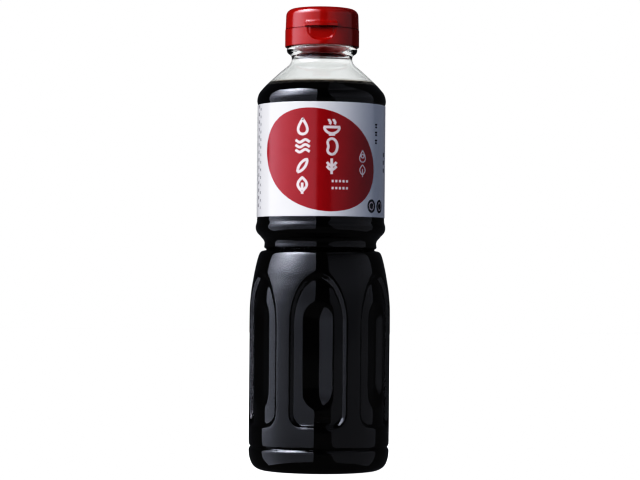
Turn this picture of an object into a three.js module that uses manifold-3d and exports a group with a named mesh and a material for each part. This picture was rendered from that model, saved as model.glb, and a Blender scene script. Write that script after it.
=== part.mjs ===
import * as THREE from 'three';
import Module from 'manifold-3d';

const wasm = await Module();
wasm.setup();

// Driving sizes in millimetres, angles in degrees. +Z is up and the front faces -Y.
const bodyRadius = 41.1;
const wallThickness = 0.9;
const contentGap = 0.35;
const fillLevel = 226.2;

const footInnerRadius = 23;
const footOuterRadius = 33;
const pushUpHeight = 3.2;

const panelCount = 6;
const panelHalfWidth = 19.1;
const panelBottom = 24.2;
const panelCornerRadius = 10.6;
const panelArchStart = 86.1;
const panelTop = 116.9;
const panelWallWidth = 4;
const panelWallCurve = 1.6;
const ledgeDepth = 2.1;
const troughHalfWidth = 9.35;
const troughBottom = 38.9;
const troughTop = 97;
const troughSlope = 6;

const labelOuterRadius = 37.5;
const labelThickness = 0.6;
const labelBottom = 147.6;
const labelTop = 213.1;
const labelClearance = 0.3;
const discHalfAngle = 55.2;
const discHalfHeight = 29.6;
const discCentreHeight = 180;
const discSkew = 0.18;

const neckInnerRadius = 16.65;
const supportRingRadius = 20.7;
const supportRingTop = 247;
const finishRadius = 18.35;
const finishTop = 260.5;

const capRadius = 21.7;
const capBottom = 247.35;
const capTop = 270;
const capEdgeRadius = 4.2;
const capGap = 0.35;
const plugOuterRadius = 16.2;
const plugInnerRadius = 14;
const plugBottom = 242;
const lidHollowTop = 266.5;
const partingHeight = 257.3;
const partingWidth = 0.4;
const partingDepth = 1.3;
const hingeHalfAngle = 15;
const tabHalfAngle = 24.6;
const tabReach = 2.1;
const tabHeight = 2.7;
const recessHalfWidth = 9.1;
const recessHeight = 7.7;
const recessWallWidth = 0.9;
const recessTopDepth = 2;
const recessBottomDepth = 1;

const degrees = Math.PI / 180;

// Outside of the bottle above the foot, as height and radius.
const bodyOutline = [
  [0.9, 36.2],
  [1.7, 37.5],
  [2.9, 38.7],
  [4.0, 39.4],
  [5.2, 39.9],
  [6.4, 40.4],
  [8.2, 40.8],
  [10.0, 41.0],
  [12.5, 41.0],
  [13.4, 40.3],
  [14.1, 39.8],
  [14.8, 40.3],
  [15.7, 41.0],
  [18.0, bodyRadius],
  [94.0, bodyRadius],
  [97.2, 40.9],
  [100.7, 40.6],
  [104.3, 40.3],
  [107.8, 39.8],
  [111.3, 39.2],
  [114.8, 38.6],
  [118.3, 37.9],
  [121.8, 37.1],
  [124.2, 36.5],
  [126.5, 35.7],
  [127.6, 34.7],
  [128.2, 33.3],
  [128.5, 31.6],
  [129.0, 31.4],
  [129.4, 31.8],
  [129.8, 32.6],
  [130.6, 32.8],
  [133.2, 32.8],
  [134.7, 33.5],
  [135.9, 34.6],
  [137.1, 35.6],
  [138.2, 36.7],
  [139.4, 37.5],
  [140.6, 37.9],
  [141.8, 38.0],
  [143.2, 37.8],
  [144.6, 37.4],
  [146.6, 37.35],
  [147.2, 36.6],
  [213.5, 36.6],
  [214.1, 37.4],
  [215.4, 37.7],
  [216.8, 37.6],
  [218.2, 37.3],
  [219.4, 36.9],
  [220.9, 36.0],
  [222.6, 34.6],
  [224.4, 33.1],
  [226.1, 31.4],
  [227.9, 29.4],
  [229.9, 27.2],
  [232.0, 25.0],
  [233.6, 23.0],
  [235.0, 21.3],
  [236.2, 19.7],
  [237.6, 18.5],
  [239.0, 17.9],
  [240.6, 17.7],
  [241.8, 17.9],
  [243.1, 18.9],
  [244.0, 20.1],
  [244.9, supportRingRadius],
  [supportRingTop - 0.5, supportRingRadius],
  [supportRingTop, supportRingRadius - 0.4],
];

function outlineRadius(height) {
  const last = bodyOutline.length - 1;
  if (height <= bodyOutline[0][0]) {
    return bodyOutline[0][1];
  }
  for (let i = 0; i < last; i += 1) {
    const [z0, r0] = bodyOutline[i];
    const [z1, r1] = bodyOutline[i + 1];
    if (height <= z1) {
      return r0 + (r1 - r0) * (height - z0) / (z1 - z0);
    }
  }
  return bodyOutline[last][1];
}

// Radius of the curve that runs a set distance inside the outline.
function insetRadius(height, distance) {
  let radius = outlineRadius(height) - distance;
  const steps = 24;
  for (let i = -steps; i <= steps; i += 1) {
    const offset = distance * i / steps;
    const reach = Math.sqrt(distance * distance - offset * offset);
    radius = Math.min(radius, outlineRadius(height + offset) - reach);
  }
  return radius;
}

// Distance inwards from the rim of a grip panel, on the unrolled wall.
function panelInset(across, height) {
  const side = Math.abs(across);
  if (height > panelArchStart) {
    const rise = panelTop - panelArchStart;
    const u = side / panelHalfWidth;
    const v = (height - panelArchStart) / rise;
    const reach = Math.hypot(u, v);
    const steepness = Math.hypot(u / panelHalfWidth, v / rise) / Math.max(reach, 1e-6);
    return (1 - reach) / Math.max(steepness, 1e-6);
  }
  const cornerAcross = panelHalfWidth - panelCornerRadius;
  const cornerHeight = panelBottom + panelCornerRadius;
  const past = Math.max(side - cornerAcross, 0);
  const below = Math.max(cornerHeight - height, 0);
  if (past > 0 && below > 0) {
    return panelCornerRadius - Math.hypot(past, below);
  }
  return Math.min(panelHalfWidth - side, height - panelBottom);
}

// How far a grip panel sinks the wall: a rim wall, a ledge and a long trough with a centre crease.
function panelDepth(angle, height) {
  if (height < panelBottom || height > panelTop) {
    return 0;
  }
  const pitch = 2 * Math.PI / panelCount;
  const fromFront = angle + Math.PI / 2;
  const local = fromFront - pitch * Math.round(fromFront / pitch);
  const across = local * bodyRadius;
  const inset = Math.min(Math.max(panelInset(across, height) / panelWallWidth, 0), 1);
  let depth = ledgeDepth * inset ** panelWallCurve;
  const spineLow = troughBottom + troughHalfWidth;
  const spineHigh = troughTop - troughHalfWidth;
  const beyond = Math.max(height - spineHigh, spineLow - height, 0);
  const fromSpine = Math.hypot(across, beyond);
  if (fromSpine < troughHalfWidth) {
    const edge = troughHalfWidth / bodyRadius;
    const turn = fromSpine / bodyRadius;
    const facet = Math.cos(edge) - Math.sin(edge) * Math.tan(troughSlope * degrees);
    const here = Math.cos(turn) - Math.sin(turn) * Math.tan(troughSlope * degrees);
    depth += (bodyRadius - ledgeDepth) * (1 - facet / here);
  }
  return depth;
}

function manifoldFrom(positions, triangles) {
  return new wasm.Manifold(new wasm.Mesh({
    numProp: 3,
    vertProperties: new Float32Array(positions),
    triVerts: new Uint32Array(triangles),
  }));
}

// A closed skin over stacked rings of equal length, with a point on the axis at each end.
function ringSolid(bottomHeight, rings, topHeight, surface) {
  const positions = [0, 0, bottomHeight];
  const triangles = [];
  const count = rings[0].angles.length;
  for (const ring of rings) {
    for (let j = 0; j < count; j += 1) {
      const r = ring.radii[j];
      positions.push(r * Math.cos(ring.angles[j]), r * Math.sin(ring.angles[j]), ring.height);
    }
  }
  positions.push(0, 0, topHeight);
  const top = rings.length * count + 1;
  const miss = (p, q) => {
    const x = (positions[3 * p] + positions[3 * q]) / 2;
    const y = (positions[3 * p + 1] + positions[3 * q + 1]) / 2;
    const z = (positions[3 * p + 2] + positions[3 * q + 2]) / 2;
    return Math.abs(Math.hypot(x, y) - surface(Math.atan2(y, x), z));
  };
  for (let j = 0; j < count; j += 1) {
    const next = (j + 1) % count;
    triangles.push(0, 1 + next, 1 + j);
    for (let i = 0; i < rings.length - 1; i += 1) {
      const a = 1 + i * count + j;
      const b = 1 + i * count + next;
      const c = b + count;
      const d = a + count;
      if (surface && miss(b, d) < miss(a, c)) {
        triangles.push(a, b, d, b, c, d);
      } else {
        triangles.push(a, b, c, a, c, d);
      }
    }
    const upper = 1 + (rings.length - 1) * count;
    triangles.push(upper + j, upper + next, top);
  }
  return manifoldFrom(positions, triangles);
}

// A turned solid from radius and height pairs, starting and ending on the axis.
function turnedSolid(profile, segments) {
  const angles = range(0, 2 * Math.PI, segments).slice(0, -1);
  const rings = profile.slice(1, -1).map(([radius, height]) => ({
    angles,
    radii: angles.map(() => radius),
    height,
  }));
  return ringSolid(profile[0][1], rings, profile[profile.length - 1][1]);
}

// A closed patch between an inner radius rule and a plain outer radius, over a span of angle and height.
function curvedPatch(angles, heights, innerRadius, outerRadius) {
  const positions = [];
  const triangles = [];
  const columns = angles.length;
  const rows = heights.length;
  for (let layer = 0; layer < 2; layer += 1) {
    for (const height of heights) {
      for (const angle of angles) {
        const r = layer === 0 ? innerRadius(angle, height) : outerRadius(angle, height);
        positions.push(r * Math.cos(angle), r * Math.sin(angle), height);
      }
    }
  }
  const half = columns * rows;
  const at = (layer, i, j) => layer * half + i * columns + j;
  for (let i = 0; i < rows - 1; i += 1) {
    for (let j = 0; j < columns - 1; j += 1) {
      triangles.push(at(0, i, j), at(0, i + 1, j + 1), at(0, i, j + 1));
      triangles.push(at(0, i, j), at(0, i + 1, j), at(0, i + 1, j + 1));
      triangles.push(at(1, i, j), at(1, i, j + 1), at(1, i + 1, j + 1));
      triangles.push(at(1, i, j), at(1, i + 1, j + 1), at(1, i + 1, j));
    }
  }
  for (let j = 0; j < columns - 1; j += 1) {
    triangles.push(at(0, 0, j), at(0, 0, j + 1), at(1, 0, j + 1));
    triangles.push(at(0, 0, j), at(1, 0, j + 1), at(1, 0, j));
    const e = rows - 1;
    triangles.push(at(0, e, j), at(1, e, j + 1), at(0, e, j + 1));
    triangles.push(at(0, e, j), at(1, e, j), at(1, e, j + 1));
  }
  for (let i = 0; i < rows - 1; i += 1) {
    triangles.push(at(0, i, 0), at(1, i, 0), at(1, i + 1, 0));
    triangles.push(at(0, i, 0), at(1, i + 1, 0), at(0, i + 1, 0));
    const e = columns - 1;
    triangles.push(at(0, i, e), at(1, i + 1, e), at(1, i, e));
    triangles.push(at(0, i, e), at(0, i + 1, e), at(1, i + 1, e));
  }
  return manifoldFrom(positions, triangles);
}

function range(first, last, steps) {
  return Array.from({ length: steps + 1 }, (_, i) => first + (last - first) * i / steps);
}

// The floor of the bottle and the foot it stands on, at a set distance above the outside.
function footProfile(distance) {
  const inner = footInnerRadius + distance * 0.6;
  return [
    [0, pushUpHeight + distance],
    [inner * 0.5, pushUpHeight * 0.8 + distance],
    [inner * 0.85, pushUpHeight * 0.24 + distance],
    [inner, distance],
    [footOuterRadius - distance * 0.3, distance],
  ];
}

// Half-widths on the unrolled wall that the columns of the mesh follow at one height.
function panelColumns(height, wallFoot) {
  const even = bodyRadius * Math.PI / panelCount / 4;
  if (height < panelBottom - 0.01 || height > panelTop + 0.01) {
    return wallFoot ? [even, 2 * even, 3 * even] : [even * 4 / 3, even * 8 / 3];
  }
  const halfWidthAt = (inset) => {
    let low = 0;
    let high = panelHalfWidth;
    for (let i = 0; i < 30; i += 1) {
      const middle = (low + high) / 2;
      if (panelInset(middle, height) > inset) {
        low = middle;
      } else {
        high = middle;
      }
    }
    return low;
  };
  const rim = Math.max(halfWidthAt(0), 8);
  const foot = Math.max(halfWidthAt(panelWallWidth), rim * 0.66);
  const spineLow = troughBottom + troughHalfWidth;
  const spineHigh = troughTop - troughHalfWidth;
  const beyond = Math.max(height - spineHigh, spineLow - height, 0);
  const inTrough = beyond < troughHalfWidth + 0.01;
  const edge = Math.sqrt(Math.max(troughHalfWidth ** 2 - beyond ** 2, 0));
  const trough = inTrough ? Math.max(edge, 2.6) : foot * 0.5;
  return wallFoot ? [trough, foot, rim] : [trough, foot];
}

function columnAngles(height, wallFoot) {
  const columns = panelColumns(height, wallFoot);
  const pitch = 2 * Math.PI / panelCount;
  const angles = [];
  for (let k = 0; k < panelCount; k += 1) {
    const centre = -Math.PI / 2 + k * pitch;
    angles.push(centre);
    columns.forEach((arc) => angles.push(centre + arc / bodyRadius));
    angles.push(centre + pitch / 2);
    [...columns].reverse().forEach((arc) => angles.push(centre + pitch - arc / bodyRadius));
  }
  return angles;
}

// Rings of the wall between two heights, where reach gives the plain radius at a height.
function wallRings(heights, reach, wallFoot) {
  return heights.map((height) => {
    const angles = columnAngles(height, wallFoot);
    const radii = angles.map((angle) => reach(height) - panelDepth(angle, height));
    return { angles, radii, height };
  });
}

function plainRing(radius, height, wallFoot) {
  const angles = columnAngles(height, wallFoot);
  return { angles, radii: angles.map(() => radius), height };
}

// Heights that carry a curve within a tolerance, found by halving spans where it strays.
function keyHeights(first, last, reach, tolerance) {
  const samples = range(first, last, Math.round((last - first) / 0.1));
  const kept = new Set([0, samples.length - 1]);
  const split = (from, to) => {
    const r0 = reach(samples[from]);
    const r1 = reach(samples[to]);
    let worst = 0;
    let place = -1;
    for (let i = from + 1; i < to; i += 1) {
      const straight = r0 + (r1 - r0) * (i - from) / (to - from);
      const stray = Math.abs(reach(samples[i]) - straight);
      if (stray > worst) {
        worst = stray;
        place = i;
      }
    }
    if (worst > tolerance) {
      kept.add(place);
      split(from, place);
      split(place, to);
    }
  };
  split(0, samples.length - 1);
  return [...kept].sort((a, b) => a - b).map((i) => samples[i]);
}

function joinHeights(plain, panel) {
  const low = panelBottom - 1.2;
  const high = panelTop + 1.8;
  return [...plain.filter((z) => z < low || z > high), ...panel].sort((a, b) => a - b);
}

const outerPanelHeights = [
  panelBottom, 28.2, 31, 34.8, troughBottom, 42.6, 48.25,
  panelArchStart, 92, troughTop, 102.4, 107.2, 110.8, 113.4, panelTop,
];
const innerPanelHeights = [
  panelBottom, 28.2, 34.8, troughBottom, 48.25, 87.2, troughTop, 106, 112.9, panelTop,
];

const outerReach = outlineRadius;
const outerSurface = (angle, height) => outerReach(height) - panelDepth(angle, height);

// Bottle: one clear shell with six grip panels, open at the mouth under the cap.
const outsideHeights = joinHeights(
  keyHeights(bodyOutline[0][0], supportRingTop, outerReach, 0.24),
  outerPanelHeights,
);
const outside = ringSolid(
  pushUpHeight,
  [
    ...footProfile(0).slice(1).map(([r, z]) => plainRing(r, z, true)),
    ...wallRings(outsideHeights, outerReach, true),
    plainRing(finishRadius, supportRingTop, true),
    plainRing(finishRadius, finishTop, true),
  ],
  finishTop,
  outerSurface,
);

function innerSolid(distance, topHeight, extraRings, closeHeight) {
  const inNeck = neckInnerRadius - (distance - wallThickness);
  const reach = (z) => (z > 236 ? Math.min(insetRadius(z, distance), inNeck)
    : insetRadius(z, distance));
  const heights = joinHeights(
    keyHeights(distance + 0.5, topHeight, reach, 0.4),
    innerPanelHeights,
  );
  return ringSolid(
    pushUpHeight + distance,
    [
      ...footProfile(distance).slice(1).map(([r, z]) => plainRing(r, z, false)),
      ...wallRings(heights, reach, false),
      ...extraRings,
    ],
    closeHeight,
    (angle, height) => reach(height) - panelDepth(angle, height),
  );
}

const inside = innerSolid(
  wallThickness,
  244,
  [plainRing(neckInnerRadius, finishTop + 1, false)],
  finishTop + 1,
);
const bottle = outside.subtract(inside).simplify(0.04);

// Soy sauce: the drink as one solid, filling the shell up to the shown level.
const sauce = innerSolid(wallThickness + contentGap, fillLevel, [], fillLevel).simplify(0.04);

// Label: a thin film sleeve with a large tilted disc field let into its front.
const labelSegments = 44;
const labelInnerRadius = labelOuterRadius - labelThickness;

// A plug of the disc's outline, drawn on the unrolled film and wrapped round the axis.
function discPlug(grow) {
  const halfAcross = discHalfAngle * degrees * labelOuterRadius + grow;
  const halfHigh = discHalfHeight + grow;
  const lean = Math.asin(discSkew);
  const outline = range(0, 360, 36).slice(0, -1).map((turn) => [
    halfAcross * Math.cos(turn * degrees),
    discCentreHeight + halfHigh * Math.sin(turn * degrees - lean),
  ]);
  const flat = wasm.Manifold.extrude([outline], labelThickness + 4).refineToLength(8);
  return flat.warp((point) => {
    const radius = labelInnerRadius - 2 + point[2];
    const angle = point[0] / labelOuterRadius - Math.PI / 2;
    const height = point[1];
    point[0] = radius * Math.cos(angle);
    point[1] = radius * Math.sin(angle);
    point[2] = height;
  });
}

const sleeve = turnedSolid([
  [0, labelBottom],
  [labelOuterRadius, labelBottom],
  [labelOuterRadius, labelTop],
  [0, labelTop],
], labelSegments).subtract(turnedSolid([
  [0, labelBottom - 1],
  [labelInnerRadius, labelBottom - 1],
  [labelInnerRadius, labelTop + 1],
  [0, labelTop + 1],
], labelSegments));

const label = sleeve.subtract(discPlug(labelClearance)).simplify(0.04);
const labelDisc = sleeve.intersect(discPlug(0)).simplify(0.04);

// Cap: collar and closed flip lid moulded in one, with a plug that reaches into the neck.
const capSegments = 44;
const capEdge = range(0, 90, 4).map((turn) => [
  capRadius - 0.65 - capEdgeRadius * (1 - Math.cos(turn * degrees)),
  capTop - 0.3 - capEdgeRadius * (1 - Math.sin(turn * degrees)),
]);
const capBlank = turnedSolid([
  [0, capBottom],
  [capRadius - 0.25, capBottom],
  [capRadius, capBottom + 0.3],
  [capRadius, partingHeight],
  [capRadius - 0.2, partingHeight + partingWidth],
  ...capEdge,
  [capRadius * 0.5, capTop - 0.08],
  [0, capTop],
], capSegments);

const skirtSpace = turnedSolid([
  [0, capBottom - 1],
  [finishRadius + capGap, capBottom - 1],
  [finishRadius + capGap, finishTop + capGap],
  [0, finishTop + capGap],
], capSegments);

const plug = turnedSolid([
  [0, plugBottom],
  [plugOuterRadius - 0.4, plugBottom],
  [plugOuterRadius, plugBottom + 1],
  [plugOuterRadius, finishTop + 1],
  [0, finishTop + 1],
], capSegments);

const lidHollow = turnedSolid([
  [0, plugBottom - 1],
  [plugInnerRadius, plugBottom - 1],
  [plugInnerRadius, lidHollowTop],
  [0, lidHollowTop],
], 36);

const grooveAngles = range(90 + hingeHalfAngle, 450 - hingeHalfAngle, 36)
  .map((turn) => turn * degrees);
const partingGroove = curvedPatch(
  grooveAngles,
  [partingHeight, partingHeight + partingWidth],
  () => capRadius - partingDepth,
  () => capRadius + 1,
);

const tabAngles = range(-90 - tabHalfAngle, -90 + tabHalfAngle, 12)
  .map((turn) => turn * degrees);
const tabFoot = partingHeight + partingWidth;
const tabHeights = [tabFoot, tabFoot + 0.5, tabFoot + 1.9, tabFoot + tabHeight, tabFoot + 4];
const tabFronts = [
  capRadius + tabReach - 0.3,
  capRadius + tabReach,
  capRadius + tabReach - 0.2,
  capRadius + tabReach * 0.45,
  capRadius - 0.5,
];
const tab = curvedPatch(
  tabAngles,
  tabHeights,
  () => capRadius - 1.6,
  (angle, height) => tabFronts[tabHeights.indexOf(height)],
);

function recessInset(across, height) {
  const down = Math.max(partingHeight - height, 0) / recessHeight;
  const side = Math.abs(across) / recessHalfWidth;
  const power = 2.6;
  const reach = (side ** power + down ** power) ** (1 / power);
  return (1 - reach) * recessHeight;
}

const recess = curvedPatch(
  range(-90 - 27, -90 + 27, 20).map((turn) => turn * degrees),
  range(partingHeight - recessHeight - 0.6, partingHeight + 0.1, 11),
  (angle, height) => {
    const across = (angle + Math.PI / 2) * capRadius;
    const share = Math.min(Math.max((partingHeight - height) / recessHeight, 0), 1);
    const floor = recessTopDepth + (recessBottomDepth - recessTopDepth) * share;
    const inset = recessInset(across, height) / recessWallWidth;
    return capRadius + 0.25 - (floor + 0.25) * Math.min(Math.max(inset + 0.1, 0), 1);
  },
  () => capRadius + 1,
);

const cap = capBlank
  .subtract(skirtSpace)
  .add(plug)
  .subtract(lidHollow)
  .subtract(partingGroove)
  .subtract(recess)
  .add(tab)
  .simplify(0.04);

function meshFrom(solid, name, colour, roughness, opacity) {
  const data = solid.getMesh();
  const geometry = new THREE.BufferGeometry();
  const points = new Float32Array(data.numVert * 3);
  for (let i = 0; i < data.numVert; i += 1) {
    points[3 * i] = data.vertProperties[i * data.numProp];
    points[3 * i + 1] = data.vertProperties[i * data.numProp + 1];
    points[3 * i + 2] = data.vertProperties[i * data.numProp + 2];
  }
  geometry.setAttribute('position', new THREE.BufferAttribute(points, 3));
  geometry.setIndex(new THREE.BufferAttribute(new Uint32Array(data.triVerts), 1));
  geometry.computeVertexNormals();
  const material = new THREE.MeshStandardMaterial({
    color: colour,
    roughness,
    metalness: 0,
    transparent: opacity < 1,
    opacity,
  });
  const mesh = new THREE.Mesh(geometry, material);
  mesh.name = name;
  return mesh;
}

const group = new THREE.Group();
group.name = 'sauce_bottle';
group.add(meshFrom(bottle, 'bottle', 0xe4e8e6, 0.08, 0.35));
group.add(meshFrom(sauce, 'soy_sauce', 0x1a0b06, 0.1, 1));
group.add(meshFrom(label, 'label', 0xe9e8ec, 0.4, 1));
group.add(meshFrom(labelDisc, 'label_disc', 0xb3202c, 0.4, 1));
group.add(meshFrom(cap, 'cap', 0xb01a14, 0.35, 1));

export default group;
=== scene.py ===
import math

import bmesh
import bpy
import numpy as np
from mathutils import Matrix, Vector


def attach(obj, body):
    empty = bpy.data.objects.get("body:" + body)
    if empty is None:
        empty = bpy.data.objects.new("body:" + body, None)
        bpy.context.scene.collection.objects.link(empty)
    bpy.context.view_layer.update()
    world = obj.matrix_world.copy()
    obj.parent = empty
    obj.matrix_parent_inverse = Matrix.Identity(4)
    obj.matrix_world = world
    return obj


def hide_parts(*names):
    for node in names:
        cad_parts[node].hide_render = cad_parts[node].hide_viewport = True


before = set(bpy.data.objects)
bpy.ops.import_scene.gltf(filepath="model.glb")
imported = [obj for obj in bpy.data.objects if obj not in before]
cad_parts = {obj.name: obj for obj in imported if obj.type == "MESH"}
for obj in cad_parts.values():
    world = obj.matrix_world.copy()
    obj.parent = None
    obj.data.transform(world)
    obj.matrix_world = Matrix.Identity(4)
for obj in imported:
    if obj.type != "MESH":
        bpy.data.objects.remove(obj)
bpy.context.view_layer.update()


# Bottle shell. The real one is a blown bottle of clear PET, over half a millimetre thick, with a neck
# that is moulded first. Six arched grip panels are sunk into its lower body, above a foot with a
# pushed-up middle, and a narrow waist parts the body from the straight band that carries the film.
MM = 0.001
WALL = 0.6
FOOT_INNER = 23.0
FOOT_OUTER = 33.0
PUSH_UP = 3.2
FINISH_RADIUS = 18.35
FINISH_TOP = 260.5
NECK_INNER = 17.05
BORE_START = 240.6
BODY_RADIUS = 41.1
SUPPORT_RING = 20.65
RING_TOP = 247.0

# Radius and height of the outside, from the foot to the top of the support ring.
OUTLINE = [
    (33.0, 0.0), (34.6, 0.25), (36.2, 0.9), (37.5, 1.7), (38.7, 2.9), (39.4, 4.0), (39.9, 5.2),
    (40.4, 6.6), (40.8, 8.4), (41.0, 10.2), (41.05, 12.3), (40.85, 12.95), (40.4, 13.55),
    (40.1, 14.0), (40.4, 14.45), (40.85, 15.05), (41.05, 15.8), (BODY_RADIUS, 19.0),
    (BODY_RADIUS, 50.0), (BODY_RADIUS, 92.0), (40.95, 97.2), (40.65, 100.7), (40.3, 104.3),
    (39.8, 107.8), (39.2, 111.3), (38.6, 114.8), (37.9, 118.3), (37.1, 121.8), (36.45, 124.2),
    (35.7, 126.3), (34.9, 127.5), (33.8, 128.1), (32.5, 128.35), (31.7, 128.6), (31.45, 129.05),
    (31.85, 129.3), (32.45, 129.6), (32.95, 130.0), (32.98, 130.4), (32.88, 131.0),
    (32.78, 131.8), (32.72, 132.6), (32.8, 133.3), (33.5, 134.7),
    (34.6, 135.9), (35.6, 137.1), (36.7, 138.2), (37.5, 139.4), (37.9, 140.6), (38.0, 141.8),
    (37.85, 143.2), (37.45, 144.5), (37.3, 145.5), (37.28, 146.5), (37.2, 147.2), (37.2, 165.0),
    (37.2, 195.0), (37.2, 213.2), (37.3, 213.6), (37.55, 214.4), (37.7, 215.4), (37.68, 216.4),
    (37.5, 217.5), (37.15, 218.8), (36.6, 220.1), (35.8, 221.3), (34.6, 222.7), (33.1, 224.4),
    (31.4, 226.1), (29.4, 228.0), (27.2, 230.0), (25.0, 232.0), (23.0, 233.7), (21.2, 235.2),
    (19.6, 236.5), (18.5, 237.8), (17.9, 239.2), (17.7, 240.6), (17.8, 241.6), (18.15, 242.4),
    (18.9, 243.1), (19.8, 243.7), (20.4, 244.4), (SUPPORT_RING, 245.2), (SUPPORT_RING, 246.2),
    (20.4, 246.8), (19.9, RING_TOP),
]

# Lengths along the wall from the middle of a grip panel to the mesh columns beside it: they lie
# close together where the panel's wall and trough turn.
HALF_PITCH = BODY_RADIUS * math.pi / 6
OUTER_COLUMNS = [0.0, 1.6, 3.2, 4.8, 6.4, 7.8, 8.8, 9.35, 9.9, 10.8, 11.9, 12.9, 13.7, 14.3, 14.75,
                 15.1, 15.45, 15.95, 16.6, 17.4, 18.2, 18.9, 19.6, 20.5, HALF_PITCH]
INNER_COLUMNS = [0.0, 2.2, 4.4, 6.6, 8.4, 9.35, 10.3, 11.6, 12.8, 13.8, 14.5, 15.1, 15.7, 16.7,
                 17.9, 19.1, 20.3, HALF_PITCH]

# The distance between mesh rows at some heights.
ROW_SPACING = [(0, 1.0), (11, 0.6), (13, 0.35), (15, 0.35), (17, 2.0), (22, 2.0), (24, 0.75),
               (40, 0.9), (46, 2.8), (82, 2.8), (86, 0.9), (110, 0.8), (118, 0.8), (127, 0.7),
               (147, 0.7), (149, 8.0), (211, 8.0), (213.5, 0.7), (236, 1.1), (247, 0.8)]


def curve_through(points, spacing):
    """A smooth line through the points, with about the given spacing in millimetres."""
    knots = np.array(points, float)
    knots = np.vstack([2 * knots[0] - knots[1], knots, 2 * knots[-1] - knots[-2]])
    line = []
    for before, start, end, after in zip(knots[:-3], knots[1:-2], knots[2:-1], knots[3:]):
        root_in, root_on, root_out = (max(np.linalg.norm(b - a), 1e-6) ** 0.5 for a, b in
                                      ((before, start), (start, end), (end, after)))
        leave = (end - start) + root_on * ((start - before) / root_in
                                           - (end - before) / (root_in + root_on))
        arrive = (end - start) + root_on * ((after - end) / root_out
                                            - (after - start) / (root_on + root_out))
        steps = max(1, round(np.linalg.norm(end - start) / spacing))
        for k in range(steps):
            t = k / steps
            line.append((2 * t**3 - 3 * t**2 + 1) * start + (t**3 - 2 * t**2 + t) * leave
                        + (3 * t**2 - 2 * t**3) * end + (t**3 - t**2) * arrive)
    line.append(knots[-2])
    return np.array(line)


outside_fine = curve_through(OUTLINE, 0.08)


def spaced_rows(line, scale):
    """Points along a line, as far apart as the row spacing says, times a scale."""
    gaps = np.interp(line[:, 1], *zip(*ROW_SPACING)) * scale
    run = np.concatenate([[0.0], np.cumsum(np.hypot(*np.diff(line, axis=0).T) / gaps[1:])])
    want = np.linspace(0.0, run[-1], int(run[-1]) + 2)
    return np.column_stack([np.interp(want, run, line[:, k]) for k in (0, 1)])


outside = spaced_rows(outside_fine, 1.2)


def panel_turns(arcs):
    """Bearings of the mesh columns all round, from the lengths beside a panel's middle."""
    half = np.array(arcs) / BODY_RADIUS
    panel = np.concatenate([-half[::-1], half[1:-1]])
    return np.concatenate([panel + k * math.pi / 3 - math.pi / 2 for k in range(6)])


def inset(heights, distance):
    """Radius of the line that runs the given distance inside the outline."""
    radii = []
    for z in heights:
        near = outside_fine[np.abs(outside_fine[:, 1] - z) <= distance]
        reach = np.sqrt(distance**2 - (near[:, 1] - z) ** 2)
        radii.append(np.min(near[:, 0] - reach))
    return np.array(radii)


def floor_line(distance):
    """Radius and height of the pushed-up floor, the given distance above its underside."""
    radii = np.linspace(0.0, 1.0, 21)[1:] * (FOOT_INNER + 0.6 * distance)
    share = radii / radii[-1]
    rise = PUSH_UP * (1 - share**2) ** 1.5 + distance
    return np.column_stack([radii, rise])


def turned_mesh(name, line, turns, low, high=None):
    """A mesh turned round Z from radius and height pairs in millimetres, closed at the axis."""
    columns = len(turns)
    verts = [(0.0, 0.0, low * MM)]
    for r, z in line:
        verts += [(r * MM * math.cos(a), r * MM * math.sin(a), z * MM) for a in turns]
    faces = [(0, 1 + (j + 1) % columns, 1 + j) for j in range(columns)]
    for i in range(len(line) - 1):
        a = 1 + i * columns
        b = a + columns
        for j in range(columns):
            k = (j + 1) % columns
            faces.append((a + j, a + k, b + k, b + j))
    last = 1 + (len(line) - 1) * columns
    if high is not None:
        verts.append((0.0, 0.0, high * MM))
        top = len(verts) - 1
        faces += [(last + j, last + (j + 1) % columns, top) for j in range(columns)]
    mesh = bpy.data.meshes.new(name)
    mesh.from_pydata(verts, [], faces)
    mesh.polygons.foreach_set("use_smooth", [True] * len(mesh.polygons))
    mesh.update()
    return mesh


def inner_wall(heights, distance):
    """Radius and height pairs of a wall inside the shell, no wider than the bore in the neck."""
    heights = np.asarray(heights)
    radii = inset(heights, distance)
    radii = np.where(heights > BORE_START, np.minimum(radii, NECK_INNER + WALL - distance), radii)
    return np.column_stack([radii, heights])


def floor_and_wall(heights, distance):
    """Radius and height of a line inside the shell, from the floor's middle up to a height."""
    return np.vstack([floor_line(distance), [(FOOT_OUTER - 0.3 * distance, distance)],
                      inner_wall(heights, distance)])


inner_fine = inner_wall(np.arange(WALL + 0.5, RING_TOP - 2.0, 0.2), WALL)
inner_heights = spaced_rows(inner_fine, 1.3)[:, 1]

outer_part = np.vstack([
    floor_line(0.0),
    outside,
    [(FINISH_RADIUS, RING_TOP + 0.05), (FINISH_RADIUS, FINISH_TOP - 0.5), (FINISH_RADIUS - 0.5, FINISH_TOP)],
])
inner_part = np.vstack([floor_and_wall(inner_heights, WALL),
                        [(NECK_INNER, RING_TOP + 0.2), (NECK_INNER, FINISH_TOP - 0.4),
                         (NECK_INNER + 0.4, FINISH_TOP)]])

outer_mesh = turned_mesh("shell_outside", outer_part, panel_turns(OUTER_COLUMNS), PUSH_UP)
inner_mesh = turned_mesh("shell_inside", inner_part, panel_turns(INNER_COLUMNS), PUSH_UP + WALL)
inner_mesh.flip_normals()

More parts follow.
